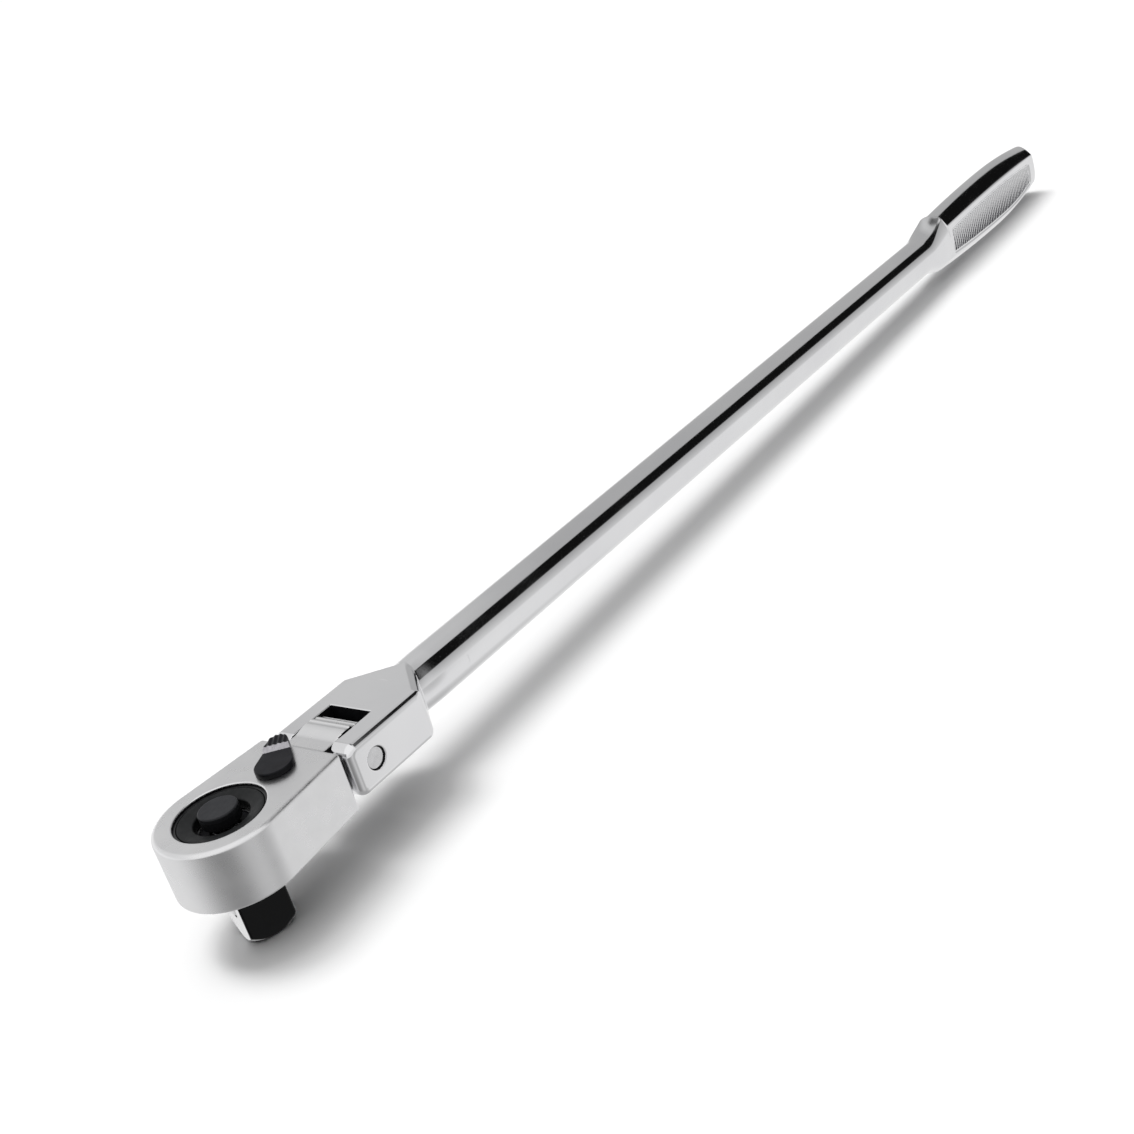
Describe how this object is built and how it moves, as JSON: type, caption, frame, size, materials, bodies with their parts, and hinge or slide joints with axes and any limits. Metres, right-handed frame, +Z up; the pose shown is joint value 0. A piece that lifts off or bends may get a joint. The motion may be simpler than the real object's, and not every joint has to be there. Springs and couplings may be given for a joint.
{
  "type": "flex-head ratchet wrench",
  "caption": "Long-handled reversible ratchet wrench with a flexing head, a male square drive, a quick-release button and a knurled metal grip.",
  "frame": {"origin": "drive axis at the socket shoulder, level with the underside of the head", "axes": "+X along the handle towards the grip, +Z up along the drive axis towards the push button, +Y to the left of someone looking along +X"},
  "size_m": [0.5568, 0.0336, 0.0381],
  "materials": {
    "satin_chrome": "satin chrome plate on forged steel",
    "polished_chrome": "bright chrome plate on forged steel",
    "pin_steel": "ground steel",
    "bare_steel": "machined and hardened steel, lightly oiled",
    "bearing_steel": "polished hardened steel",
    "spring_steel": "drawn spring wire and strip",
    "black_oxide": "satin black oxide",
    "black_gear_steel": "glossy black oxide",
    "black_button": "satin black, turned",
    "black_lever": "satin black, cast",
    "seal_rubber": "matt"
  },
  "bodies": {
    "head": {"head_housing": "satin_chrome", "cover_plate": "black_oxide", "plate_retaining_ring": "spring_steel", "gear_seal_ring": "seal_rubber", "gear_thrust_washer": "bare_steel", "pawl_pin": "bare_steel"},
    "drive": {"drive_gear": "black_gear_steel"},
    "button": {"release_button": "black_button", "release_pin": "bare_steel", "button_spring": "spring_steel"},
    "ball": {"socket_ball": "bearing_steel"},
    "pawl": {"pawl": "bare_steel"},
    "lever": {"reversing_lever": "black_lever", "lever_seal_ring": "seal_rubber", "lever_clip": "spring_steel", "pawl_plunger": "bearing_steel", "plunger_spring": "spring_steel"},
    "handle": {"handle": "polished_chrome", "hinge_pin": "pin_steel", "index_ball": "bearing_steel", "index_spring": "spring_steel"}
  },
  "joints": [
    {"name": "head_flex", "type": "hinge", "parent": "head", "child": "handle", "pos_m": [0.0378, 0, 0.0084], "axis": [0, 1, 0], "range_deg": [-90, 90]},
    {"name": "drive_spin", "type": "hinge", "parent": "head", "child": "drive", "pos_m": [0, 0, 0], "axis": [0, 0, 1], "continuous": true},
    {"name": "button_press", "type": "slide", "parent": "drive", "child": "button", "axis": [0, 0, -1], "range_m": [0, 0.0022], "stiffness_N_per_m": 1500, "springref_m": -0.002, "deforming": ["button_spring"]},
    {"name": "ball_slide", "type": "slide", "parent": "drive", "child": "ball", "axis": [0.9397, -0.342, 0], "range_m": [0, 0.0007]},
    {"name": "lever_turn", "type": "hinge", "parent": "head", "child": "lever", "pos_m": [0.0194, 0, 0.0168], "axis": [0, 0, 1], "range_deg": [-76, 0]},
    {"name": "pawl_rock", "type": "hinge", "parent": "head", "child": "pawl", "pos_m": [0.0136, 0, 0.007], "axis": [0, 0, 1], "range_deg": [0, 7.6]}
  ],
  "couplings": [
    {"joint": "ball_slide", "follows": "button_press", "ratio": 0.318},
    {"joint": "pawl_rock", "follows": "lever_turn", "ratio": -0.1}
  ]
}
